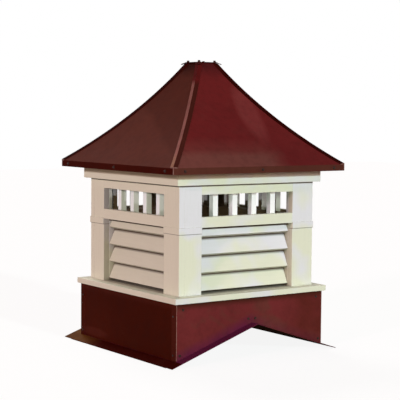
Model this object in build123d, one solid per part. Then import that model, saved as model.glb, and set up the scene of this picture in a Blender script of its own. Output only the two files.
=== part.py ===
from build123d import *
from math import cos, hypot, radians, sin, sqrt
import os

# Roof cupola: sheet-metal saddle base, louvered body with a low window band, flared four-hip roof.
# Millimetres, +Z up, origin under the centre of the footprint.
# The ridge it straddles runs along Y, so the notched gables face -Y (front) and +Y (back).

IN = 25.4

# --- driving dimensions ---
BASE_W = 24.0 * IN          # outside width of the base walls
BASE_H = 7.33 * IN          # height of the side walls, sill to roof slope
PITCH = 4.0 / 12.0          # rise over run of the roof it stands on
FLANGE_SIDE = 1.7 * IN      # side flanges, measured down the slope
FLANGE_FRONT = 1.37 * IN    # gable flanges, measured out from the wall
FLANGE_BACK = 2.0 * IN
ARM_END = 1.62 * IN         # how far a gable flange runs on down the slope past the corner
SHEET = 2.0                 # sheet metal
BOARD = 0.75 * IN           # base, sill and frieze boards

SILL_OUT = 0.42 * IN        # sill nosing past the base walls
SILL_D = 3.5 * IN           # depth of a sill board
SILL_T = 0.75 * IN

BODY_SET = 1.0 * IN         # body face back from the base wall
BODY_H = 15.75 * IN         # sill top to soffit
POST_W = 3.5 * IN           # face width of a corner board
POST_T = 0.85 * IN          # thickness of the body boards
LOWER_H = 7.88 * IN         # louver section, sill top to belt
BELT_H = 0.87 * IN
BELT_OUT = 2.5              # how far the belt stands proud

RAIL_Z = 8.66 * IN          # underside of the rail under the window, above the sill
RAIL_H = 1.35 * IN
WINDOW_H = 2.89 * IN        # clear height of the window
BARS = 4
BAR_W = 0.8 * IN
BAR_D = 0.85 * IN
BAR_LAP = 0.5 * IN          # how far a bar runs on behind the rails
JAMB_W = 0.75 * IN          # inner stiles of window and louver
JAMB_D = 0.5 * IN

SLATS = 4
SLAT_PITCH = 2.375 * IN
SLAT_LOW = 0.375 * IN       # lowest front edge above the sill
SLAT_L = 2.6 * IN
SLAT_T = 0.6 * IN
SLAT_TILT = 25.0            # degrees from upright, leaning out at the bottom
LOUVER_D = 1.65 * IN        # depth of the louver stiles

FRIEZE_H = 1.58 * IN
SOFFIT_T = 0.5 * IN

EAVE_OUT = 3.0 * IN         # eave past the body face
FASCIA_DROP = 0.04 * IN     # fascia lip below the soffit
FASCIA_H = 0.84 * IN
ROOF_H = 13.65 * IN         # eave line to the top plate
ROOF_TOP_W = 2.88 * IN      # width of the open top
FLARE_R = 55.4 * IN         # radius of the flare

HIP_W = 0.66 * IN           # width of each leg of a hip cap, along the eave
HIP_T = 1.5
HIP_RISE = 2.2              # crest of a cap above its edges
HIP_GAP = 0.3               # cap over the curved panel
HIP_START = 0.35 * IN       # caps start this far below the open top, under the tabs
HIP_STEPS = 8               # spans of the cap's curve down the flare

PLATE_LAP = 0.16 * IN       # plate past the open top
PLATE_T = 2.5
TAB_REACH = 0.35 * IN       # corner tabs past the plate, along each side
TAB_DROP = 0.24 * IN
TAB_W = 0.75 * IN

# --- derived widths and heights ---
SILL_W = BASE_W + 2 * SILL_OUT
BODY_W = BASE_W - 2 * BODY_SET
ROOF_W = BODY_W + 2 * EAVE_OUT
PLATE_W = ROOF_TOP_W + 2 * PLATE_LAP
SLOPE_LEN = sqrt(1.0 + PITCH * PITCH)
RUN = 1.0 / SLOPE_LEN       # level part of a unit length down the slope
RISE = PITCH / SLOPE_LEN
FOOT = FLANGE_SIDE * RISE + SHEET * RUN     # wall foot above the lowest flange edge
SILL_Z = FOOT + BASE_H
DECK_Z = SILL_Z + SILL_T
BELT_Z = DECK_Z + LOWER_H
UPPER_Z = BELT_Z + BELT_H
SOFFIT_Z = DECK_Z + BODY_H
LIP_Z = SOFFIT_Z - FASCIA_DROP
EAVE_Z = LIP_Z + FASCIA_H
TOP_Z = EAVE_Z + ROOF_H
RAIL_LOW = DECK_Z + RAIL_Z
WINDOW_LOW = RAIL_LOW + RAIL_H
WINDOW_TOP = WINDOW_LOW + WINDOW_H

HALF = BASE_W / 2
BODY = BODY_W / 2
EAVE = ROOF_W / 2
OPEN = BODY - POST_W        # half width of the openings
BACK = BODY - POST_T        # inner face of the body boards
FAR = 2 * ROOF_W

# Sections are drawn as (distance out from the axis, height) and run along the front face.
OUT = Plane(origin=(0, 0, 0), x_dir=(0, -1, 0), z_dir=(-1, 0, 0))
SIDES = {"front": 0, "right": 90, "back": 180, "left": 270}
CORNERS = {"fr": 0, "br": 90, "bl": 180, "fl": 270}


def block(x0, x1, y0, y1, z0, z1):
    size = (x1 - x0, y1 - y0, z1 - z0)
    return Pos((x0 + x1) / 2, (y0 + y1) / 2, (z0 + z1) / 2) * Box(*size)


def slab(face, length):
    """Run an (out, up) section along the front face."""
    return extrude(OUT * face, amount=length / 2, both=True)


def outline(*points):
    return make_face(Polyline(*points, close=True))


def prism(points, z0, z1):
    """Plan outline between two heights."""
    return extrude(Pos(0, 0, z0) * outline(*points), amount=z1 - z0)


def mitred(r0, r1, z0, z1):
    """Front board of a four-sided ring with mitred ends."""
    return prism([(-r0, -r0), (r0, -r0), (r1, -r1), (-r1, -r1)], z0, z1)


def around(shape, angle):
    return Rot(0, 0, angle) * shape


def roof_line(x):
    """Underside of the flanges, the slope the cupola stands on."""
    return FOOT - SHEET * SLOPE_LEN - (abs(x) - HALF) * PITCH


def save(name, *solids):
    shape = solids[0] if len(solids) == 1 else Compound(children=list(solids))
    shape.label = name
    export_step(shape, "parts/" + name + ".step")


def gable_halves(x_out, y0, y1, top):
    """Two boards meeting on the centre line, their feet cut to the slope."""
    halves = []
    for side in (-1, 1):
        pts = [(0, roof_line(0)), (side * x_out, roof_line(x_out)), (side * x_out, top), (0, top)]
        face = Plane.XZ * outline(*pts)
        halves.append(Pos(0, y1, 0) * extrude(face, amount=y1 - y0))
    return halves


def base_boards():
    outer = HALF - SHEET
    inner = outer - BOARD
    front = gable_halves(outer, -outer, -inner, SILL_Z)
    side = extrude(Plane.XZ * outline((inner, roof_line(inner)), (outer, roof_line(outer)),
                                      (outer, SILL_Z), (inner, SILL_Z)), amount=inner, both=True)
    save("base_gable_front", *front)
    save("base_gable_back", *[around(p, 180) for p in front])
    save("base_side_right", side)
    save("base_side_left", around(side, 180))


def base_skirt():
    """Sheet wrapped round the base boards, feet cut to the slope."""
    shell = block(-HALF, HALF, -HALF, HALF, 0, SILL_Z)
    inner = HALF - SHEET
    shell -= block(-inner, inner, -inner, inner, -1, SILL_Z + 1)
    below = outline((-EAVE, roof_line(EAVE)), (0, roof_line(0)), (EAVE, roof_line(EAVE)),
                    (EAVE, -FAR), (-EAVE, -FAR))
    shell -= extrude(Plane.XZ * below, amount=FAR, both=True)
    save("base_skirt", shell)


def flange_section(x0, past):
    """Strip of sheet down the slope, from x0 to `past` beyond the wall."""
    x1 = HALF + past * RUN
    lift = SHEET * SLOPE_LEN
    return outline((x0, roof_line(x0) + lift), (x1, roof_line(x1) + lift),
                   (x1 - SHEET * RISE, roof_line(x1) + lift - SHEET * RUN), (x0, roof_line(x0)))


def flanges():
    side = extrude(Plane.XZ * flange_section(HALF, FLANGE_SIDE), amount=HALF, both=True)
    save("flange_right", side)
    save("flange_left", around(side, 180))
    for name, reach in (("front", FLANGE_FRONT), ("back", FLANGE_BACK)):
        arm = Pos(0, -HALF, 0) * extrude(Plane.XZ * flange_section(0, ARM_END), amount=reach)
        arms = [arm, mirror(arm, about=Plane.YZ)]
        save("flange_" + name, *[around(p, SIDES[name]) for p in arms])


def corner_boards(grow, z0, z1):
    """Two boards of the front right corner, butted, `grow` proud of the body."""
    out = BODY + grow
    return [block(OPEN, out, -out, -BACK, z0, z1), block(BACK, out, -BACK, -OPEN, z0, z1)]


def posts():
    boards = corner_boards(0, DECK_Z, BELT_Z)
    boards += corner_boards(BELT_OUT, BELT_Z, UPPER_Z)
    boards += corner_boards(0, UPPER_Z, SOFFIT_Z)
    for name, angle in CORNERS.items():
        save("post_" + name, *[around(b, angle) for b in boards])


def louver():
    """Sloping slats between two stiles, set behind the corner boards."""
    pieces = []
    a = radians(SLAT_TILT)
    for i in range(SLATS):
        r = BACK
        z = DECK_Z + SLAT_LOW + i * SLAT_PITCH
        up = (-SLAT_L * sin(a), SLAT_L * cos(a))
        thick = (-SLAT_T * cos(a), -SLAT_T * sin(a))
        pts = [(r, z), (r + up[0], z + up[1]),
               (r + up[0] + thick[0], z + up[1] + thick[1]), (r + thick[0], z + thick[1])]
        pieces.append(slab(outline(*pts), 2 * OPEN))
    top = WINDOW_LOW - BAR_LAP
    for side in (-1, 1):
        x0, x1 = sorted((side * OPEN, side * (OPEN + JAMB_W)))
        pieces.append(block(x0, x1, -BACK, -(BACK - LOUVER_D), DECK_Z, top))
    return pieces


def rails():
    low = block(-OPEN, OPEN, -BODY, -BACK, RAIL_LOW, WINDOW_LOW)
    head = block(-OPEN, OPEN, -BODY, -BACK, WINDOW_TOP, SOFFIT_Z)
    return [low, head]


def window():
    """Upright bars and two inner stiles on the back of the rails."""
    z0 = WINDOW_LOW - BAR_LAP
    z1 = WINDOW_TOP + BAR_LAP
    gap = (2 * OPEN - BARS * BAR_W) / (BARS + 1)
    pieces = []
    for i in range(BARS):
        x0 = -OPEN + gap + i * (gap + BAR_W)
        pieces.append(block(x0, x0 + BAR_W, -BACK, -(BACK - BAR_D), z0, z1))
    for side in (-1, 1):
        x0, x1 = sorted((side * OPEN, side * (OPEN + JAMB_W)))
        pieces.append(block(x0, x1, -BACK, -(BACK - JAMB_D), z0, z1))
    return pieces


def flare_centre():
    """Centre of the flare, out beyond the roof, from the eave edge and the top edge."""
    ax, az = EAVE, EAVE_Z
    bx, bz = ROOF_TOP_W / 2, TOP_Z
    mx, mz = (ax + bx) / 2, (az + bz) / 2
    half = hypot(bx - ax, bz - az) / 2
    reach = sqrt(FLARE_R ** 2 - half ** 2) / (2 * half)
    return mx + (bz - az) * reach, mz - (bx - ax) * reach


FLARE_X, FLARE_Z = flare_centre()


def flare_z(r, inward):
    """Height of the flare at distance r, for a surface `inward` of the sheet's outer face."""
    return FLARE_Z - sqrt((FLARE_R + inward) ** 2 - (r - FLARE_X) ** 2)


def flare_r(z, inward):
    return FLARE_X - sqrt((FLARE_R + inward) ** 2 - (FLARE_Z - z) ** 2)


def flare_arc(r0, r1, inward):
    rm = (r0 + r1) / 2
    ends = [(r, flare_z(r, inward)) for r in (r0, rm, r1)]
    return ThreePointArc(*ends)


def roof_panel():
    """Flared sheet with its fascia lip, mitred on the hips."""
    outer = flare_arc(flare_r(TOP_Z, 0), EAVE, 0)
    inner = flare_arc(EAVE - SHEET, flare_r(TOP_Z, SHEET), SHEET)
    lip = Polyline(outer @ 1, (EAVE, LIP_Z), (EAVE - SHEET, LIP_Z), inner @ 0)
    top = Line(inner @ 1, outer @ 0)
    sheet = slab(make_face([outer, lip, inner, top]), ROOF_W)
    wedge = prism([(0, 0), (-FAR, -FAR), (FAR, -FAR)], 0, 2 * TOP_Z)
    return sheet & wedge


def hip_edge(lift):
    """Cap curve `lift` off the flare, carried back along the leg's cross fall to the plane x = 0."""
    r0 = ROOF_TOP_W / 2 + HIP_START
    rs = [r0 + (EAVE - r0) * k / HIP_STEPS for k in range(HIP_STEPS + 1)]
    return Spline(*[(r, flare_z(r, -lift) + HIP_RISE * (1 - r / HIP_W)) for r in rs])


def hip_cap():
    """Bent strip over the front right hip, its two legs falling from a raised crest."""
    r0 = ROOF_TOP_W / 2 + HIP_START
    under = hip_edge(HIP_GAP)
    over = hip_edge(HIP_GAP + HIP_T)
    section = make_face([under, Line(under @ 1, over @ 1), over, Line(over @ 0, under @ 0)])
    climb = HIP_RISE / HIP_W
    band = extrude(OUT * section, amount=EAVE * hypot(1, climb), dir=(1, 0, climb))
    strip = prism([(r0, -r0), (EAVE, -EAVE), (EAVE - HIP_W, -EAVE), (r0 - HIP_W, -r0)], 0, 2 * TOP_Z)
    leg = band & strip
    other = mirror(leg, about=Plane(origin=(0, 0, 0), z_dir=(1, 1, 0)))
    return leg + other


def top_cap():
    """Closing plate with its four corners turned down over the caps."""
    half = PLATE_W / 2
    plate = block(-half, half, -half, half, TOP_Z, TOP_Z + PLATE_T)
    root = half - TAB_REACH / 2
    u0, u1 = root * sqrt(2), (half + TAB_REACH) * sqrt(2)
    z1 = TOP_Z + PLATE_T
    tab_face = outline((u0, z1), (half * sqrt(2) * 0.9, z1), (u1, z1 - TAB_DROP),
                       (u1, z1 - TAB_DROP - PLATE_T), (half * sqrt(2) * 0.9, z1 - PLATE_T), (u0, z1 - PLATE_T))
    tab = slab(tab_face, TAB_W)
    for k in range(4):
        plate += around(tab, 45 + 90 * k)
    return plate


def main():
    os.makedirs("parts", exist_ok=True)
    base_boards()
    base_skirt()
    flanges()
    posts()
    per_face = {
        "sill": [mitred(SILL_W / 2 - SILL_D, SILL_W / 2, SILL_Z, DECK_Z)],
        "louver": louver(),
        "rails": rails(),
        "window": window(),
        "frieze": [mitred(BODY, BODY + BOARD, SOFFIT_Z - FRIEZE_H, SOFFIT_Z)],
        "roof": [roof_panel()],
    }
    for kind, pieces in per_face.items():
        for side, angle in SIDES.items():
            save(kind + "_" + side, *[around(p, angle) for p in pieces])
    soffit = mitred(SILL_W / 2 - SILL_D, EAVE - SHEET, SOFFIT_Z, SOFFIT_Z + SOFFIT_T)
    save("soffit", *[around(soffit, angle) for angle in SIDES.values()])
    hip = hip_cap()
    for name, angle in CORNERS.items():
        save("hip_" + name, around(hip, angle))
    save("top_cap", top_cap())


main()
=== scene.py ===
import math

import bmesh
import bpy
from mathutils import Matrix, Vector


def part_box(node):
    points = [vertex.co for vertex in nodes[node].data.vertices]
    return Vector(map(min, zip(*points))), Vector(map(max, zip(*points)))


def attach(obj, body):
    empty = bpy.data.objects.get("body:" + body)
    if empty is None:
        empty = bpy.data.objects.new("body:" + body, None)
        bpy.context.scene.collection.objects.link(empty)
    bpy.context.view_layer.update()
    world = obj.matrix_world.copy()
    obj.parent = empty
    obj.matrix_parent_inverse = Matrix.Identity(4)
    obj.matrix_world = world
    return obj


# Roof cupola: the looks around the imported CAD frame.
# Metres, +Z up. The gable face with the notch towards the viewer is -Y (front), the eave side is -X (left).

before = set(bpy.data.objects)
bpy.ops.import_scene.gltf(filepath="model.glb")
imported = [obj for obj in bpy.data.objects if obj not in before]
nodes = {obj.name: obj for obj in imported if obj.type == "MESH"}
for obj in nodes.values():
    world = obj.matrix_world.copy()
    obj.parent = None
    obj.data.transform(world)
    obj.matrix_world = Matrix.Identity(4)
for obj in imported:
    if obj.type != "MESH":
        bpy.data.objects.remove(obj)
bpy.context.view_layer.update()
MM = 0.001
IN = 25.4 * MM

# --- sizes of the part that no box in the frame gives ---
PITCH = 4.0 / 12.0                          # rise over run of the roof it stands on
FASCIA_H = 0.84 * IN
LOWER_H = 7.88 * IN                         # louver section, sill top to belt
FLARE_RADIUS = 55.4 * IN                    # of the concave roof panels
ROOF_TOP_HALF = 1.44 * IN                   # half width of the open top
PLATE_HALF = 1.6 * IN                       # half width of the top plate, without its tabs
HIP_WIDTH = 0.66 * IN                       # each leg of a hip cap
LAP_REACH = 1.05 * IN                       # gable sheet turned round on to the plain side

# --- sizes read from the frame ---
SILL_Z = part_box("sill_front")[0].z
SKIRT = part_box("base_skirt")[1].x           # half width of the base
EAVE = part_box("roof_right")[1].x            # half width at the eave
LIP_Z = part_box("roof_right")[0].z           # bottom of the fascia
EAVE_Z = LIP_Z + FASCIA_H                   # top of the fascia
ROOF_TOP_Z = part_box("roof_right")[1].z
PLATE_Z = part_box("top_cap")[1].z
WALL_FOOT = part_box("flange_left")[1].z      # where wall and side flange meet
RAIL_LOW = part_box("rails_front")[0].z
FRIEZE_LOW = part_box("frieze_front")[0].z
SOFFIT_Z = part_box("soffit")[0].z
SILL_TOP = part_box("sill_front")[1].z
BELT_Z = SILL_TOP + LOWER_H
FACE = -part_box("rails_front")[0].y          # half width over the body boards
BEHIND = -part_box("rails_front")[1].y - 1.0 * IN         # an inch behind the body boards

# --- the photograph's viewpoint ---
CAMERA_AT = Vector((-2.5354, -3.5809, SILL_Z + 0.6172))
CAMERA_YAW = math.radians(35.2931)          # clockwise from +Y
CAMERA_PITCH = math.radians(4.0535)         # looking down
CAMERA_ROLL = math.radians(0.4798)
CAMERA_LENS = 112.39                        # mm on a 36 mm sensor

# --- paint colours, linear ---
BURGUNDY = (0.114, 0.0122, 0.0129)
# painted reflection: a lighter patch on the gable panels
BURGUNDY_SHEEN = (0.149, 0.0235, 0.0240)
# painted reflection: a lighter, browner band low on the gable panels
BURGUNDY_LOW_SHEEN = (0.136, 0.0415, 0.0350)
BURGUNDY_TOP = (0.068, 0.0090, 0.0100)      # darker by the top plate
SLOPE_BROWN = (0.088, 0.0207, 0.0127)       # the roof panels over the plain walls, painted shade and reflection
# painted shade: the plain-side panels darker towards the front and higher up
SLOPE_DARK = (0.069, 0.0142, 0.0080)
SLOPE_TOP = (0.030, 0.0045, 0.0020)
FASCIA_FRONT = (0.087, 0.0262, 0.0186)
# painted shade on the plain-side fascias
FASCIA_SIDE = (0.050, 0.0052, 0.0023)
# painted shade on the hip legs
CAP_SHADED = (0.038, 0.0035, 0.0024)
CAP_RED_LIT = (0.160, 0.0150, 0.0165)           # the red written lighter on their highest inches, painted light
CAP_FAR_SHADED = (0.022, 0.0016, 0.0010)
# lighter painted shade on the legs turned to X
CAP_HALF_SHADED = (0.058, 0.0150, 0.0105)
# painted highlight on the legs turned to the back
CAP_HIGHLIGHT = (0.390, 0.1750, 0.1480)
CAP_HIGHLIGHT_LOW = (0.420, 0.2350, 0.1500)        # the lowest inches of the painted highlight
BASE_RED = (0.141, 0.0222, 0.0235)
BASE_BROWN = (0.110, 0.0310, 0.0245)
BASE_DULL = (0.096, 0.0165, 0.0135)
BASE_SHADE = (0.062, 0.0150, 0.0100)
# painted shade: the plain sides written at about a third of the gables' red
BASE_SIDE_SHADED = (0.051, 0.0054, 0.0013)
# lighter: the lap, just under the sill, and the painted reflection of the flange
BASE_LAP = (0.070, 0.0115, 0.0062)
# painted shade on the plain-side flanges
FLANGE_SIDE_SHADED = (0.040, 0.0026, 0.0012)
# painted light: the warm-lit far ends of the flanges
OLIVE_LIT = (0.150, 0.0620, 0.0110)
# painted reflection: purple on the gable flanges and low on the gables
PURPLE_SHEEN = (0.103, 0.0125, 0.0460)
CREAM = (0.72, 0.74, 0.60)
WHITE_PAINT = (0.93, 0.94, 0.96)
# painted light: tinted to cancel the pink fill lamp on faces turned to X
WHITE_SIDE = (0.89, 1.0, 1.0)
# painted shade: the green-grey shaded bars on the plain walls
WHITE_SHADED = (0.72, 0.80, 0.69)
BARE_WOOD = (0.045, 0.020, 0.014)
# bare wood inside, and painted shade deep behind the boards
UNPAINTED_AND_SHADE = (0.145, 0.098, 0.050)
# painted shade in crevices and under things, and the dark joint line below the belt
SHADE_AND_GRIME = (0.060, 0.032, 0.018)
# painted shadow of the eave on the frieze
EAVE_SHADOW_BROWN = (0.30, 0.10, 0.05)
DUST = (0.16, 0.12, 0.09)
METAL_SPECK = (0.020, 0.006, 0.005)
# painted highlight along folded edges
EDGE_HIGHLIGHT = (0.20, 0.10, 0.075)
BOLT_METAL = (0.026, 0.012, 0.009)
RIM = (0.20, 0.07, 0.05)                    # cut edge of the gable sheet
SHUT_IN = (0.012, 0.0030, 0.0025)           # undersides that no light reaches

METAL_SPECULAR = 0.006                      # the old paint hardly shines
GRAIN_SCALES = {"x": (1.0, 14.0, 14.0), "y": (14.0, 1.0, 14.0), "z": (14.0, 14.0, 1.0)}


# ---------------------------------------------------------------- materials

def add(tree, kind, inputs=None, **settings):
    """New shader node with its inputs and settings."""
    node = tree.nodes.new("ShaderNode" + kind)
    for key, value in settings.items():
        setattr(node, key, value)
    for key, value in (inputs or {}).items():
        node.inputs[key].default_value = value
    return node


def feed(tree, socket, value):
    """Put a number, a colour or another node's output on a socket."""
    if isinstance(value, bpy.types.NodeSocket):
        tree.links.new(value, socket)
    elif isinstance(value, tuple):
        socket.default_value = (*value, 1.0)
    else:
        socket.default_value = value


def noise(tree, coords, scale, detail=4.0, rough=0.55, distortion=0.0):
    node = add(tree, "TexNoise", {"Scale": scale, "Detail": detail, "Roughness": rough,
                                  "Distortion": distortion})
    tree.links.new(coords, node.inputs["Vector"])
    return node.outputs["Fac"]


def spread(tree, value, low, high, out_low, out_high):
    """A value's range from low to high mapped on to out_low to out_high, and held there past its ends."""
    node = add(tree, "MapRange", {"From Min": low, "From Max": high, "To Min": out_low, "To Max": out_high})
    tree.links.new(value, node.inputs["Value"])
    return node.outputs["Result"]


def blend_colour(tree, factor, first, second, mode="MIX"):
    """Colour mix; first and second are a colour or a socket, and factor is a number or a socket."""
    node = add(tree, "Mix", data_type="RGBA", blend_type=mode)
    factor_input, first_input, second_input, colour_output = 0, 6, 7, 2
    feed(tree, node.inputs[factor_input], factor)
    feed(tree, node.inputs[first_input], first)
    feed(tree, node.inputs[second_input], second)
    return node.outputs[colour_output]


def scaled(colour, factor):
    """A colour made darker or lighter, kept at 1 or less."""
    return tuple(min(1.0, c * factor) for c in colour)


def object_coords(tree, scale=(1.0, 1.0, 1.0)):
    coords = add(tree, "TexCoord").outputs["Object"]
    mapping = add(tree, "Mapping", {"Scale": scale})
    tree.links.new(coords, mapping.inputs["Vector"])
    return mapping.outputs["Vector"]


def bump(tree, reliefs, shader):
    """Chain of (relief socket, depth in metres) onto the shader's normal."""
    normal = None
    for relief, depth in reliefs:
        node = add(tree, "Bump", {"Strength": 1.0, "Distance": depth})
        tree.links.new(relief, node.inputs["Height"])
        if normal is not None:
            tree.links.new(normal, node.inputs["Normal"])
        normal = node.outputs["Normal"]
    tree.links.new(normal, shader.inputs["Normal"])


def new_material(name):
    mat = bpy.data.materials.new(name)
    mat.use_nodes = True
    return mat, mat.node_tree, mat.node_tree.nodes["Principled BSDF"]


def split(tree, output):
    """X, Y and Z of the object's place ("Object") or of its normal ("Normal")."""
    parts = add(tree, "SeparateXYZ")
    tree.links.new(add(tree, "TexCoord").outputs[output], parts.inputs[0])
    return parts.outputs


def maths(tree, kind, first, second=0.0):
    """Math node; both inputs take a number or a socket."""
    node = add(tree, "Math", operation=kind)
    feed(tree, node.inputs[0], first)
    feed(tree, node.inputs[1], second)
    return node.outputs[0]


def facing(tree, axis, low, high):
    """0 to 1 as the surface turns towards plus or minus `axis` of the object."""
    return spread(tree, maths(tree, "ABSOLUTE", split(tree, "Normal")[axis]), low, high, 0.0, 1.0)


def height(tree, low, high, out_low=0.0, out_high=1.0):
    """Smooth ramp with the height above the footing."""
    return spread(tree, split(tree, "Object")["Z"], low, high, out_low, out_high)


def times(tree, first, second):
    return maths(tree, "MULTIPLY", first, second)


def largest(tree, first, *others):
    for other in others:
        first = maths(tree, "MAXIMUM", first, other)
    return first


def from_middle(tree):
    """Distances from the two upright middle planes of the part, along X and along Y."""
    place = split(tree, "Object")
    return [maths(tree, "ABSOLUTE", place[axis]) for axis in "XY"]


def metal_finish(tree, shader, tone, gloss, specular, dust_share):
    """Mottled tone, dust in patches and slight oil-canning over a paint colour socket."""
    coords = object_coords(tree)
    broad = noise(tree, coords, 2.6, 3.0)
    fine = noise(tree, coords, 38.0, 6.0, 0.6)
    dust = noise(tree, coords, 9.0, 5.0, 0.65, 0.8)
    grey = spread(tree, broad, 0.35, 0.65, 0.88, 1.10)
    tone = blend_colour(tree, 1.0, tone, grey, "MULTIPLY")
    tone = blend_colour(tree, spread(tree, fine, 0.45, 0.75, 0.0, 0.22), tone, METAL_SPECK)
    tone = blend_colour(tree, spread(tree, dust, 0.55, 0.75, 0.0, dust_share), tone, DUST)
    tree.links.new(tone, shader.inputs["Base Color"])
    tree.links.new(spread(tree, dust, 0.3, 0.75, gloss, gloss + 0.18), shader.inputs["Roughness"])
    shader.inputs["Specular IOR Level"].default_value = specular
    bump(tree, [(broad, 2.0 * MM), (noise(tree, coords, 420.0, 2.0), 0.03 * MM)], shader)


def ellipse(tree, first, second, centre, radii, soft=0.5):
    """1 inside an ellipse in two coordinates, fading out past its edge."""
    legs = []
    for socket, middle, radius in zip((first, second), centre, radii):
        leg = times(tree, maths(tree, "SUBTRACT", socket, middle), 1.0 / radius)
        legs.append(times(tree, leg, leg))
    return spread(tree, maths(tree, "ADD", *legs), 1.0 - soft, 1.0 + soft, 1.0, 0.0)


def wavy(tree, socket, amount, scale=6.0):
    """A coordinate shifted by up to about `amount` of slow noise, so that an edge along it wanders."""
    shift = spread(tree, noise(tree, object_coords(tree), scale, 4.0), 0.3, 0.7, -amount, amount)
    return maths(tree, "ADD", socket, shift)


def roof_sheet():
    """Panels and fascias: one paint, with painted shade and reflection by side and by slope."""
    mat, tree, shader = new_material("roof_paint")
    place = split(tree, "Object")
    sideways = facing(tree, "X", 0.15, 0.3)
    upright = facing(tree, "Z", 0.30, 0.12)
    lift = maths(tree, "SUBTRACT", place["Z"], EAVE_Z)
    wavy_lift = wavy(tree, lift, 0.25 * IN)

    # painted shade and reflection on the plain-side panels: browner, darker towards the front and higher up
    from_hip = maths(tree, "ADD", place["Y"], maths(tree, "ABSOLUTE", place["X"]))
    open_part = maths(tree, "SUBTRACT", wavy(tree, from_hip, 1.0 * IN), times(tree, lift, 1.6))
    opened = spread(tree, open_part, -2.2 * IN, -0.2 * IN, 0.0, 1.0)
    brown = blend_colour(tree, opened, SLOPE_DARK, SLOPE_BROWN)
    near_top = height(tree, ROOF_TOP_Z - 2.1 * IN, ROOF_TOP_Z - 0.5 * IN)
    brown = blend_colour(tree, near_top, brown, SLOPE_TOP)

    # painted reflection: a lighter patch on the gable panels
    sheen_patch = ellipse(tree, place["X"], wavy_lift, (3.2 * IN, 6.8 * IN), (1.7 * IN, 3.6 * IN))
    red = blend_colour(tree, sheen_patch, BURGUNDY, BURGUNDY_SHEEN)
    # painted reflection: a lighter, browner band low on the gable panels, fading out towards plus X
    low_sheen = maths(tree, "ADD", spread(tree, wavy_lift, 3.6 * IN, 1.9 * IN, 0.0, 0.4),
                   spread(tree, wavy_lift, 2.0 * IN, 1.3 * IN, 0.0, 0.6))
    ends = spread(tree, wavy(tree, place["X"], 0.8 * IN), 1.5 * IN, 5.0 * IN, 1.0, 0.0)
    red = blend_colour(tree, times(tree, low_sheen, ends), red, BURGUNDY_LOW_SHEEN)
    red = blend_colour(tree, near_top, red, BURGUNDY_TOP)

    # the plain-side panels take the painted shade
    slope = blend_colour(tree, sideways, red, brown)
    # fascias darker than the slopes, and painted shade on the plain sides
    fascia = blend_colour(tree, sideways, FASCIA_FRONT, FASCIA_SIDE)
    metal_finish(tree, shader, blend_colour(tree, upright, slope, fascia), 0.32, METAL_SPECULAR, 0.04)
    return mat


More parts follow.
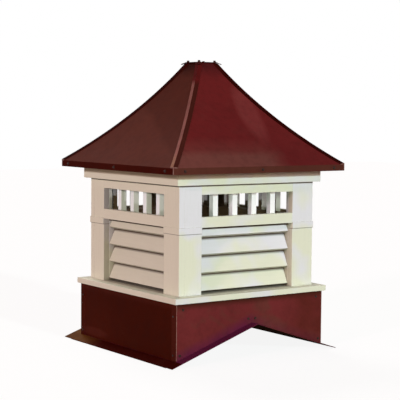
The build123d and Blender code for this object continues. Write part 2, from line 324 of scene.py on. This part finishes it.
def base_sheet():
    """Skirt and flanges: painted shade on the plain sides, a painted purple reflection low on the gables,
    painted light on the flange corners.
    """
    mat, tree, shader = new_material("base_paint")
    place = split(tree, "Object")
    coords = object_coords(tree)
    out = maths(tree, "ABSOLUTE", place["X"])
    above = maths(tree, "ADD", place["Z"], times(tree, out, PITCH))
    foot = WALL_FOOT + SKIRT * PITCH
    patchy = spread(tree, noise(tree, coords, 14.0, 4.0), 0.3, 0.6, 0.45, 1.0)
    wavy_height = wavy(tree, place["Z"], 2 * MM, 12.0)
    under_sill = spread(tree, wavy_height, SILL_Z - 0.95 * IN, SILL_Z - 0.2 * IN, 0.0, 1.0)

    blotches = spread(tree, noise(tree, coords, 8.0, 5.0, 0.6, 0.4), 0.50, 0.62, 0.0, 0.75)
    gable = blend_colour(tree, blotches, BASE_RED, BASE_BROWN)
    dull = times(tree, spread(tree, wavy(tree, place["X"], 1.2 * IN), 5.5 * IN, 8.5 * IN, 0.0, 1.0), patchy)
    gable = blend_colour(tree, dull, gable, BASE_DULL)
    gable = blend_colour(tree, under_sill, gable, BASE_SHADE)
    # painted reflection: purple low on the gables, over the gable flanges
    purple_reflection = times(tree, spread(tree, above, foot, foot + 1.4 * IN, 0.9, 0.0), patchy)
    purple_reflection = times(tree, purple_reflection, spread(tree, place["X"], -1.0 * IN, 2.5 * IN, 1.0, 0.35))
    gable = blend_colour(tree, purple_reflection, gable, PURPLE_SHEEN)

    # plain walls: lighter on the lap and just under the sill, and a painted reflection of the flange low at
    # the far end; `worn` gathers these
    lap_end = LAP_REACH - SKIRT
    lap = spread(tree, place["Y"], lap_end + 0.3 * MM, lap_end, 0.0, 1.0)
    flange_reflection = ellipse(tree, place["Y"], place["Z"], (8.2 * IN, WALL_FOOT + 0.85 * IN), (3.2 * IN, 0.6 * IN))
    worn = largest(tree, lap, flange_reflection, times(tree, under_sill, patchy))
    plain = blend_colour(tree, worn, BASE_SIDE_SHADED, BASE_LAP)
    # the plain walls take the painted shade
    wall = blend_colour(tree, facing(tree, "X", 0.5, 0.7), gable, plain)

    beyond = maths(tree, "GREATER_THAN", out, SKIRT + 0.5 * MM)
    far_end = times(tree, place["X"], place["Y"])
    # painted light on the far end of the plain-side flanges and at the gable flanges' corners
    lit_end = times(tree, spread(tree, far_end, -0.045, -0.095, 0.0, 0.9), patchy)
    flange = blend_colour(tree, lit_end, FLANGE_SIDE_SHADED, OLIVE_LIT)
    at_corner = spread(tree, far_end, -0.080, -0.095, 0.0, 1.0)
    gable_flange = blend_colour(tree, at_corner, PURPLE_SHEEN, OLIVE_LIT)
    flange = blend_colour(tree, beyond, gable_flange, flange)
    upward = split(tree, "Normal")["Z"]
    rim = spread(tree, maths(tree, "ABSOLUTE", place["Y"]), SKIRT - 2.3 * MM, SKIRT - 2.1 * MM, 0.0, 1.0)
    under = blend_colour(tree, rim, SHUT_IN, RIM)
    flange = blend_colour(tree, spread(tree, upward, 0.0, -0.1, 0.0, 1.0), flange, under)
    tone = blend_colour(tree, facing(tree, "Z", 0.7, 0.8), wall, flange)
    metal_finish(tree, shader, tone, 0.30, METAL_SPECULAR, 0.03)
    tree.links.new(spread(tree, upward, -0.1, 0.0, 0.0, METAL_SPECULAR), shader.inputs["Specular IOR Level"])
    return mat


def hip_sheet():
    """Hip caps and top plate: a painted highlight on the legs turned to the back, painted shade on the
    others.
    """
    mat, tree, shader = new_material("hip_paint")
    turned = split(tree, "Normal")
    place = split(tree, "Object")
    far_side = spread(tree, largest(tree, place["X"], place["Y"]), 1.0 * IN, 2.5 * IN, 0.0, 1.0)
    near_top = height(tree, ROOF_TOP_Z - 3.1 * IN, ROOF_TOP_Z - 2.4 * IN)
    sloping = facing(tree, "Z", 0.2, 0.35)
    highlit = times(tree, spread(tree, turned["Y"], 0.03, 0.12, 0.0, 1.0), sloping)
    # noise breaks up the painted highlight and the lighter painted shade
    wear = spread(tree, noise(tree, object_coords(tree), 24.0, 4.0), 0.3, 0.6, 0.70, 1.0)
    # `worn` picks out the legs turned to X for the lighter painted shade
    worn = times(tree, spread(tree, turned["X"], 0.03, 0.12, 0.0, 1.0), wear)
    tone = blend_colour(tree, worn, CAP_SHADED, blend_colour(tree, near_top, CAP_HALF_SHADED, CAP_RED_LIT))
    # deeper painted shade on the far hips
    tone = blend_colour(tree, far_side, tone, CAP_FAR_SHADED)
    pale = blend_colour(tree, height(tree, EAVE_Z + 1.8 * IN, EAVE_Z + 0.8 * IN), CAP_HIGHLIGHT, CAP_HIGHLIGHT_LOW)
    pale = blend_colour(tree, near_top, pale, CAP_RED_LIT)
    tone = blend_colour(tree, times(tree, highlit, wear), tone, pale)
    metal_finish(tree, shader, tone, 0.28, 0.004, 0.03)
    return mat


def edge_highlight():
    """Painted highlight on folded edges of the sheet, broken by noise into a lighter red."""
    mat, tree, shader = new_material("edge_highlight")
    coords = object_coords(tree)
    wear = noise(tree, coords, 130.0, 5.0, 0.65)
    tone = blend_colour(tree, spread(tree, wear, 0.42, 0.68, 0.0, 0.8), EDGE_HIGHLIGHT, scaled(BURGUNDY, 1.2))
    tree.links.new(tone, shader.inputs["Base Color"])
    tree.links.new(spread(tree, wear, 0.3, 0.7, 0.35, 0.6), shader.inputs["Roughness"])
    bump(tree, [(wear, 0.15 * MM)], shader)
    return mat


def crevice_shade(tree, reach, dark, clear, most):
    """Painted shade mask: `most` where a surface is shut in by its neighbours, 0 in the open."""
    node = add(tree, "AmbientOcclusion", {"Distance": reach}, samples=6)
    return spread(tree, node.outputs["AO"], dark, clear, most, 0.0)


def unpainted_and_deep_shade(tree):
    """1 on the faces turned to the inside, which are bare wood, and on whatever lies deep behind the boards,
    where it is painted shade.
    """
    flat = add(tree, "VectorMath", {1: (1.0, 1.0, 0.0)}, operation="MULTIPLY")
    tree.links.new(add(tree, "TexCoord").outputs["Object"], flat.inputs[0])
    unit = add(tree, "VectorMath", operation="NORMALIZE")
    tree.links.new(flat.outputs[0], unit.inputs[0])
    dot = add(tree, "VectorMath", operation="DOT_PRODUCT")
    tree.links.new(unit.outputs[0], dot.inputs[0])
    tree.links.new(add(tree, "TexCoord").outputs["Normal"], dot.inputs[1])
    inward = spread(tree, dot.outputs["Value"], -0.50, -0.70, 0.0, 1.0)
    # painted shade deep behind the boards
    deep = spread(tree, largest(tree, *from_middle(tree)), BEHIND + 2 * MM, BEHIND, 0.0, 1.0)
    return largest(tree, inward, deep)


def band(tree, z, half, soft):
    """1 within `half` of a height, fading out over `soft`."""
    away = maths(tree, "ABSOLUTE", maths(tree, "SUBTRACT", split(tree, "Object")["Z"], z))
    return spread(tree, away, half, half + soft, 1.0, 0.0)


def slat_shade(tree):
    """Painted shade along the top and underside of each slat, on the sill and under the rail."""
    out = largest(tree, *from_middle(tree))
    top = spread(tree, out, BEHIND + 0.22 * IN, BEHIND + 0.08 * IN, 0.0, 0.95)
    foot = times(tree, band(tree, SILL_TOP, 0.34 * IN, 0.05 * IN), 0.4)
    under = spread(tree, split(tree, "Normal")["Z"], -0.1, -0.4, 0.0, 0.35)
    return largest(tree, top, foot, under, band(tree, RAIL_LOW, 0.30 * IN, 0.10 * IN))


def sill_shade(tree):
    """Painted shade on the sill where it runs in under the lowest slat."""
    out = largest(tree, *from_middle(tree))
    return spread(tree, out, FACE + 0.08 * IN, FACE - 0.08 * IN, 0.0, 0.36)


def eave_shadow(tree):
    """Painted shadow on the strip of frieze that the eave shelters."""
    return height(tree, SOFFIT_Z - 0.84 * IN, SOFFIT_Z - 0.62 * IN, 0.0, 0.58)


def joint_lines_and_shade(tree):
    """Painted shadow under the frieze, a dark line in the open joint below the belt and painted shade on the
    cheeks of the side openings.
    """
    under_frieze = band(tree, FRIEZE_LOW, 0.16 * IN, 0.08 * IN)
    belt = band(tree, BELT_Z, 0.7 * MM, 0.5 * MM)
    frieze_and_belt_lines = times(tree, largest(tree, under_frieze, belt), 0.85)
    out, along = from_middle(tree)
    past_cheeks = 7.8 * IN
    # painted shade on the cheeks of the side openings
    cheek = times(tree, facing(tree, "Y", 0.8, 0.9), maths(tree, "GREATER_THAN", out, along))
    cheek = times(tree, cheek, maths(tree, "LESS_THAN", along, past_cheeks))
    return largest(tree, frieze_and_belt_lines, times(tree, cheek, 0.32))


def bar_tone(tree, colour, side_colour):
    """White bars: painted shade on the plain walls, and another colour on faces turned to the plain sides,
    painted light that cancels the pink of the fill lamp.
    """
    on_side_wall = maths(tree, "GREATER_THAN", *from_middle(tree))
    tone = blend_colour(tree, on_side_wall, colour, WHITE_SHADED)
    return blend_colour(tree, facing(tree, "X", 0.4, 0.6), tone, side_colour)


def cream_tone(tree, colour, patches, cool_above, side_gain):
    """Cream boards: lighter on the plain sides as painted light, in cooler patches on the gables, more so
    above a height.
    """
    cool = tuple(c * k for c, k in zip(colour, (1.0, 0.98, 1.30)))
    lift = height(tree, *cool_above, -0.13, 0.13) if cool_above else -0.07
    cooler = spread(tree, maths(tree, "ADD", patches, lift), 0.40, 0.60, 0.0, 1.0)
    cooler = times(tree, cooler, facing(tree, "Y", 0.5, 0.7))
    # painted light: lighter on faces turned to X
    tone = blend_colour(tree, facing(tree, "X", 0.5, 0.7), colour, scaled(colour, side_gain))
    return blend_colour(tree, cooler, tone, cool)


def painted_board(name, colour, grain, rough=0.5, side_colour=None, shade_and_grime_mask=None, shade_and_grime_colour=SHADE_AND_GRIME,
                  cool_above=None, side_gain=1.09):
    """Brush-painted board with its grain along one axis and painted shade in its crevices and joints."""
    mat, tree, shader = new_material(name)
    along = object_coords(tree, GRAIN_SCALES[grain])
    coords = object_coords(tree)
    streaks = noise(tree, along, 11.0, 6.0, 0.6)
    patches = noise(tree, coords, 7.0, 2.0)
    specks = noise(tree, coords, 85.0, 4.0)
    if side_colour:
        tone = bar_tone(tree, colour, side_colour)
    else:
        tone = cream_tone(tree, colour, patches, cool_above, side_gain)
    tone = blend_colour(tree, spread(tree, streaks, 0.40, 0.72, 0.0, 0.10), tone, scaled(colour, 0.72))
    tone = blend_colour(tree, spread(tree, specks, 0.60, 0.78, 0.0, 0.10), tone, scaled(colour, 0.60))
    # painted shade where neighbours shut the surface in
    tone = blend_colour(tree, crevice_shade(tree, 22.0 * MM, 0.15, 0.50, 0.95), tone, SHADE_AND_GRIME)
    if shade_and_grime_mask:
        tone = blend_colour(tree, shade_and_grime_mask(tree), tone, shade_and_grime_colour)
    tone = blend_colour(tree, unpainted_and_deep_shade(tree), tone, UNPAINTED_AND_SHADE)
    tree.links.new(tone, shader.inputs["Base Color"])
    tree.links.new(spread(tree, streaks, 0.3, 0.7, rough - 0.06, rough + 0.10), shader.inputs["Roughness"])
    shader.inputs["Specular IOR Level"].default_value = 0.3
    bump(tree, [(streaks, 0.25 * MM), (specks, 0.08 * MM)], shader)
    return mat


def bare_board(name, colour):
    """Unpainted boards inside the base."""
    mat, tree, shader = new_material(name)
    along = object_coords(tree, (3.0, 3.0, 22.0))
    rings = noise(tree, along, 6.0, 7.0, 0.62, 1.2)
    tone = blend_colour(tree, spread(tree, rings, 0.35, 0.68, 0.0, 1.0), colour, scaled(colour, 0.55))
    tree.links.new(tone, shader.inputs["Base Color"])
    tree.links.new(spread(tree, rings, 0.3, 0.7, 0.62, 0.8), shader.inputs["Roughness"])
    shader.inputs["Specular IOR Level"].default_value = 0.0
    bump(tree, [(rings, 0.4 * MM)], shader)
    return mat


def bolt_steel(name, colour):
    """Dull steel of bolts and screws, worn brighter in specks."""
    mat, tree, shader = new_material(name)
    coords = object_coords(tree)
    wear = noise(tree, coords, 240.0, 4.0)
    tone = blend_colour(tree, spread(tree, wear, 0.4, 0.7, 0.0, 0.6), colour, scaled(colour, 2.2))
    tree.links.new(tone, shader.inputs["Base Color"])
    tree.links.new(spread(tree, wear, 0.3, 0.7, 0.3, 0.55), shader.inputs["Roughness"])
    shader.inputs["Specular IOR Level"].default_value = 0.15
    bump(tree, [(wear, 0.1 * MM)], shader)
    return mat


roof_paint = roof_sheet()
base_paint = base_sheet()
hip_paint = hip_sheet()
edge_glint = edge_highlight()
soffit_boards = painted_board("cream_x", CREAM, "x")
uprights = painted_board("cream_upright", CREAM, "z", shade_and_grime_mask=joint_lines_and_shade,
                         cool_above=(BELT_Z - 1.0 * IN, BELT_Z + 1.0 * IN))
heads = {axis: painted_board("cream_head_" + axis, CREAM, axis, shade_and_grime_mask=joint_lines_and_shade) for axis in "xy"}
friezes = {axis: painted_board("cream_frieze_" + axis, CREAM, axis, shade_and_grime_mask=eave_shadow, shade_and_grime_colour=EAVE_SHADOW_BROWN)
           for axis in "xy"}
sills = {axis: painted_board("cream_sill_" + axis, CREAM, axis, shade_and_grime_mask=sill_shade) for axis in "xy"}
slats = {axis: painted_board("cream_slat_" + axis, CREAM, axis, shade_and_grime_mask=slat_shade,
                             cool_above=(SILL_TOP + 1.5 * IN, SILL_TOP + 6.5 * IN), side_gain=1.0)
         for axis in "xy"}
bars = painted_board("white_bar", WHITE_PAINT, "z", 0.30, side_colour=WHITE_SIDE)
gloss = bars.node_tree.nodes["Principled BSDF"].inputs
gloss["Coat Weight"].default_value = 1.0
gloss["Coat IOR"].default_value = 2.1
inner_wood = bare_board("bare_wood", BARE_WOOD)
bolt_paint = bolt_steel("bolt_steel", BOLT_METAL)


MATERIALS = {"roof": roof_paint, "hip": hip_paint, "top": hip_paint, "flange": base_paint,
             "base": inner_wood, "soffit": soffit_boards, "post": uprights, "window": bars,
             "rails": heads, "louver": slats, "frieze": friezes, "sill": sills}


def node_material(name):
    """A CAD node's material; level boards have one for each direction of the grain."""
    if name == "base_skirt":
        return base_paint
    kind, _, side = name.partition("_")
    material = MATERIALS[kind]
    if isinstance(material, dict):
        return material["x" if side in ("front", "back") else "y"]
    return material


def ease_edges(obj, width):
    """Slightly rounded arrises on a CAD board, by modifiers only."""
    weld = obj.modifiers.new("weld", "WELD")
    weld.merge_threshold = 0.01 * MM
    flat = obj.modifiers.new("flat", "DECIMATE")
    flat.decimate_type = "DISSOLVE"
    flat.angle_limit = math.radians(0.5)
    bevel = obj.modifiers.new("bevel", "BEVEL")
    bevel.width = width
    bevel.segments = 2
    bevel.limit_method = "ANGLE"
    bevel.angle_limit = math.radians(30)
    bevel.harden_normals = True


# Bevel widths of the boards, mm
EASED = {"sill": 1.5, "frieze": 1.2, "rails": 0.4, "louver": 1.2, "post": 0.25, "window": 0.6}

for name, obj in nodes.items():
    obj.data.materials.clear()
    obj.data.materials.append(node_material(name))
    kind = name.split("_")[0]
    if kind in EASED:
        ease_edges(obj, EASED[kind] * MM)


# ---------------------------------------------------------------- screws, laps and painted edge highlights

CORNERS = [(first, second) for first in (-1, 1) for second in (-1, 1)]


def piece(name, bm, material):
    """A finished mesh as a named piece of the one body."""
    mesh = bpy.data.meshes.new(name)
    bm.normal_update()
    bm.to_mesh(mesh)
    bm.free()
    mesh.materials.append(material)
    obj = bpy.data.objects.new(name, mesh)
    bpy.context.scene.collection.objects.link(obj)
    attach(obj, "root")


def box(bm, low, high):
    """Rectangular sheet between two corners."""
    low, high = Vector(low), Vector(high)
    place = Matrix.Translation((low + high) / 2) @ Matrix.Diagonal((*(high - low), 1.0))
    bmesh.ops.create_cube(bm, size=1.0, matrix=place)


def skin(bm, rings):
    """Close a run of four-cornered rings into a solid."""
    bm.faces.new(rings[0])
    bm.faces.new(rings[-1])
    for lower, upper in zip(rings, rings[1:]):
        for k in range(4):
            bm.faces.new((lower[k], lower[k - 1], upper[k - 1], upper[k]))


def hex_head(bm, at, out, across, tall, washer):
    """Washer, hexagon and chamfered crown of a screw head standing on a surface."""
    turn = Vector(out).to_track_quat("Z", "Y").to_matrix().to_4x4()
    radius = across / 2 / math.cos(math.pi / 6)
    for low, high, r0, r1, sides in ((0.0, 0.18, washer, washer * 0.92, 20),
                                     (0.18, 0.86, radius, radius, 6),
                                     (0.86, 1.0, radius, radius * 0.82, 6)):
        lift = Matrix.Translation((0, 0, tall * (low + high) / 2))
        bmesh.ops.create_cone(bm, cap_ends=True, segments=sides, radius1=r0, radius2=r1,
                              depth=tall * (high - low), matrix=Matrix.Translation(at) @ turn @ lift)


def cap_bolts():
    """Four bolt heads on the top plate."""
    bm = bmesh.new()
    across, tall, washer = 7.5 * MM, 6.0 * MM, 6.0 * MM
    spot = PLATE_HALF - 0.3 * IN
    for sx, sy in CORNERS:
        hex_head(bm, (sx * spot, sy * spot, PLATE_Z), (0, 0, 1), across, tall, washer)
    piece("cap_bolts", bm, bolt_paint)


def fascia_screws():
    """Three screws along each fascia."""
    bm = bmesh.new()
    across, tall, washer = 6.5 * MM, 3.6 * MM, 5.2 * MM
    z = (LIP_Z + EAVE_Z) / 2
    reach = 12.2 * IN
    for along in (-reach, 0.0, reach):
        for sign in (-1, 1):
            hex_head(bm, (along, sign * EAVE, z), (0, sign, 0), across, tall, washer)
            hex_head(bm, (sign * EAVE, along, z), (sign, 0, 0), across, tall, washer)
    piece("fascia_screws", bm, bolt_paint)


def skirt_screws():
    """Two screws up each lap, and six on each gable."""
    bm = bmesh.new()
    across, tall, washer = 6.0 * MM, 3.2 * MM, 4.6 * MM
    high, low = SILL_Z - 1.62 * IN, SILL_Z - 6.6 * IN
    lap_spot = 11.35 * IN
    gable_spots = ((11.0 * IN, SILL_Z - 0.78 * IN), (11.46 * IN, low), (0.57 * IN, SILL_Z - 2.82 * IN))
    for sign, side in CORNERS:
        for z in (high, low):
            hex_head(bm, (side * SKIRT, sign * lap_spot, z), (side, 0, 0), across, tall, washer)
        for x, z in gable_spots:
            hex_head(bm, (side * x, sign * SKIRT, z), (0, sign, 0), across, tall, washer)
    piece("skirt_screws", bm, bolt_paint)


def skirt_laps():
    """Each gable sheet turned round the corner on to the plain side."""
    bm = bmesh.new()
    thick = 1.0 * MM
    for side, sign in CORNERS:
        xs = sorted((side * SKIRT, side * (SKIRT + thick)))
        ys = sorted((sign * SKIRT, sign * (SKIRT - LAP_REACH)))
        box(bm, (xs[0], ys[0], WALL_FOOT), (xs[1], ys[1], SILL_Z))
    piece("skirt_laps", bm, base_paint)


def highlight_edges():
    """Painted highlights where the sheet is folded: the base corners and the fascia corners."""
    bm = bmesh.new()
    line, proud, clear = 1.6 * MM, 0.5 * MM, 1 * MM
    for sx, sy in CORNERS:
        x0, x1 = sorted((sx * (SKIRT + proud), sx * (SKIRT - line)))
        y0, y1 = sorted((sy * (SKIRT + proud), sy * (SKIRT - 0.3 * MM)))
        box(bm, (x0, y0, WALL_FOOT + 2 * clear), (x1, y1, SILL_Z - clear))
        x0, x1 = sorted((sx * (EAVE + proud), sx * (EAVE - line)))
        y0, y1 = sorted((sy * (EAVE + proud), sy * (EAVE - line)))
        box(bm, (x0, y0, LIP_Z + clear), (x1, y1, EAVE_Z))
    piece("highlight_edges", bm, edge_glint)


def hip_ends():
    """The raised lower end of each hip cap, folded down over the fascia top."""
    bm = bmesh.new()
    thick = 1.0 * MM
    inner_x = EAVE - HIP_WIDTH
    profile = ((inner_x, 0.2 * MM), (EAVE, 0.2 * MM), (EAVE, 4.1 * MM), (inner_x, 1.9 * MM))
    for quarter in range(4):
        turn = Matrix.Rotation(quarter * math.pi / 2, 3, "Z")
        for mirror in (-1, 1):
            rings = []
            for y in (-EAVE, -EAVE - thick):
                rings.append([bm.verts.new(turn @ Vector((mirror * x, y, EAVE_Z + z))) for x, z in profile])
            skin(bm, rings)
    bmesh.ops.recalc_face_normals(bm, faces=bm.faces)
    # the folded ends carry the painted edge highlight
    piece("hip_ends", bm, edge_glint)


def flare_z(r, lift):
    """Height of the flared roof at distance r from its axis, `lift` off the sheet."""
    across, down = ROOF_TOP_HALF - EAVE, ROOF_TOP_Z - EAVE_Z
    half = math.hypot(across, down) / 2
    reach = math.sqrt(FLARE_RADIUS ** 2 - half ** 2) / (2 * half)
    centre_r = (EAVE + ROOF_TOP_HALF) / 2 + down * reach
    centre_z = (EAVE_Z + ROOF_TOP_Z) / 2 - across * reach
    return centre_z - math.sqrt((FLARE_RADIUS - lift) ** 2 - (r - centre_r) ** 2)


def hip_tops():
    """The hip caps carried on up, their crest flattened to clear the corner tabs of the top plate."""
    bm = bmesh.new()
    low = 0.3 * MM
    # Distance from the axis, rise of the crest, and top of the sheet over the roof panel
    spans = ((1.50 * IN, 0.0, 0.7 * MM), (1.58 * IN, 0.0, 1.8 * MM),
             (1.66 * IN, 2.1 * MM, 1.8 * MM), (1.785 * IN, 2.2 * MM, 1.8 * MM))
    for quarter in range(4):
        turn = Matrix.Rotation(quarter * math.pi / 2, 3, "Z")
        for flip in (False, True):
            rings = []
            for r, crest, high in spans:
                edge = r - HIP_WIDTH
                corners = ((r, low, crest), (edge, low, 0.0), (edge, high, 0.0), (r, high, crest))
                spots = [((r, -x) if flip else (x, -r), flare_z(r, lift) + up) for x, lift, up in corners]
                rings.append([bm.verts.new(turn @ Vector((*spot, z))) for spot, z in spots])
            skin(bm, rings)
    bmesh.ops.recalc_face_normals(bm, faces=bm.faces)
    piece("hip_tops", bm, hip_paint)


cap_bolts()
fascia_screws()
skirt_screws()
skirt_laps()
highlight_edges()
hip_ends()
hip_tops()


# ---------------------------------------------------------------- floor, light, camera

FLOOR_REACH = 12.0                          # metres from its middle to each side
FLOOR_DROP = 0.5 * MM                       # under the footing, so that no faces coincide
FLOOR_GLOW = 1.23                           # keeps the floor white where it's looked at
FLOOR_SHADE = 0.28                          # share of it that takes the shadow
FLOOR_MATT = (0.32, 0.25, 0.20, 1.0)        # what it throws back on the part
FLOOR_PALE = (0.60, 0.60, 0.60, 1.0)
WHITE = (1.0, 1.0, 1.0, 1.0)
SURROUND = (1.0, 0.55, 0.42, 1.0)
SURROUND_STRENGTH = 0.18

# Name, direction it comes from, strength, colour, width in degrees
SUNS = (("key", (0.05, -1.0, 0.33), 1.53, (0.82, 1.0, 1.0), 3.0),
        ("window", (-0.70, -1.0, 0.18), 1.28, (0.98, 1.0, 0.87), 8.0),
        ("fill", (-1.0, -0.30, 0.30), 1.03, (1.0, 0.62, 0.77), 5.0),
        ("back", (0.1, 0.8, 0.9), 0.9, (1.0, 0.98, 0.95), 20.0))


def split_by_ray(tree, lighting, seen, output):
    """One shader for the light given off, another where the camera, a gloss or a glass looks at it."""
    path = add(tree, "LightPath").outputs
    looked_at = largest(tree, path["Is Camera Ray"], path["Is Glossy Ray"], path["Is Transmission Ray"])
    both = add(tree, "MixShader")
    tree.links.new(looked_at, both.inputs["Fac"])
    tree.links.new(lighting.outputs[0], both.inputs[1])
    tree.links.new(seen.outputs[0], both.inputs[2])
    tree.links.new(both.outputs[0], add(tree, output).inputs["Surface"])


def floor():
    """White floor that keeps the part's shadow."""
    mesh = bpy.data.meshes.new("floor")
    bm = bmesh.new()
    bmesh.ops.create_grid(bm, x_segments=8, y_segments=8, size=FLOOR_REACH)
    bm.to_mesh(mesh)
    bm.free()
    obj = bpy.data.objects.new("floor", mesh)
    bpy.context.scene.collection.objects.link(obj)
    obj.location.z = -FLOOR_DROP
    mat = bpy.data.materials.new("floor_white")
    mat.use_nodes = True
    tree = mat.node_tree
    tree.nodes.clear()
    glow = add(tree, "Emission", {"Color": WHITE, "Strength": FLOOR_GLOW})
    pale = add(tree, "BsdfDiffuse", {"Color": FLOOR_PALE})
    white = add(tree, "MixShader", {"Fac": FLOOR_SHADE})
    tree.links.new(glow.outputs[0], white.inputs[1])
    tree.links.new(pale.outputs[0], white.inputs[2])
    matt = add(tree, "BsdfDiffuse", {"Color": FLOOR_MATT})
    split_by_ray(tree, matt, white, "OutputMaterial")
    mesh.materials.append(mat)


def surroundings():
    """Dim light from all round, and a white background."""
    studio = bpy.data.worlds.new("studio")
    bpy.context.scene.world = studio
    studio.use_nodes = True
    tree = studio.node_tree
    tree.nodes.clear()
    dim = add(tree, "Background", {"Color": SURROUND, "Strength": SURROUND_STRENGTH})
    white = add(tree, "Background", {"Color": WHITE, "Strength": 1.0})
    split_by_ray(tree, dim, white, "OutputWorld")


def sun(name, towards, strength, colour, softness):
    """Parallel light coming from the direction `towards`."""
    data = bpy.data.lights.new(name, "SUN")
    data.energy = strength
    data.color = colour
    data.angle = math.radians(softness)
    obj = bpy.data.objects.new(name, data)
    bpy.context.scene.collection.objects.link(obj)
    obj.rotation_euler = Vector(towards).to_track_quat("Z", "Y").to_euler()


def camera():
    """The photograph's viewpoint."""
    data = bpy.data.cameras.new("camera")
    data.lens = CAMERA_LENS
    data.sensor_width = 36.0
    data.clip_end = 100.0
    obj = bpy.data.objects.new("camera", data)
    bpy.context.scene.collection.objects.link(obj)
    turn = Matrix.Rotation(-CAMERA_YAW, 4, "Z") @ Matrix.Rotation(math.pi / 2 - CAMERA_PITCH, 4, "X")
    obj.matrix_world = Matrix.Translation(CAMERA_AT) @ turn @ Matrix.Rotation(CAMERA_ROLL, 4, "Z")
    bpy.context.scene.camera = obj


floor()
surroundings()
for light in SUNS:
    sun(*light)
camera()

bpy.context.scene.view_settings.view_transform = "Standard"
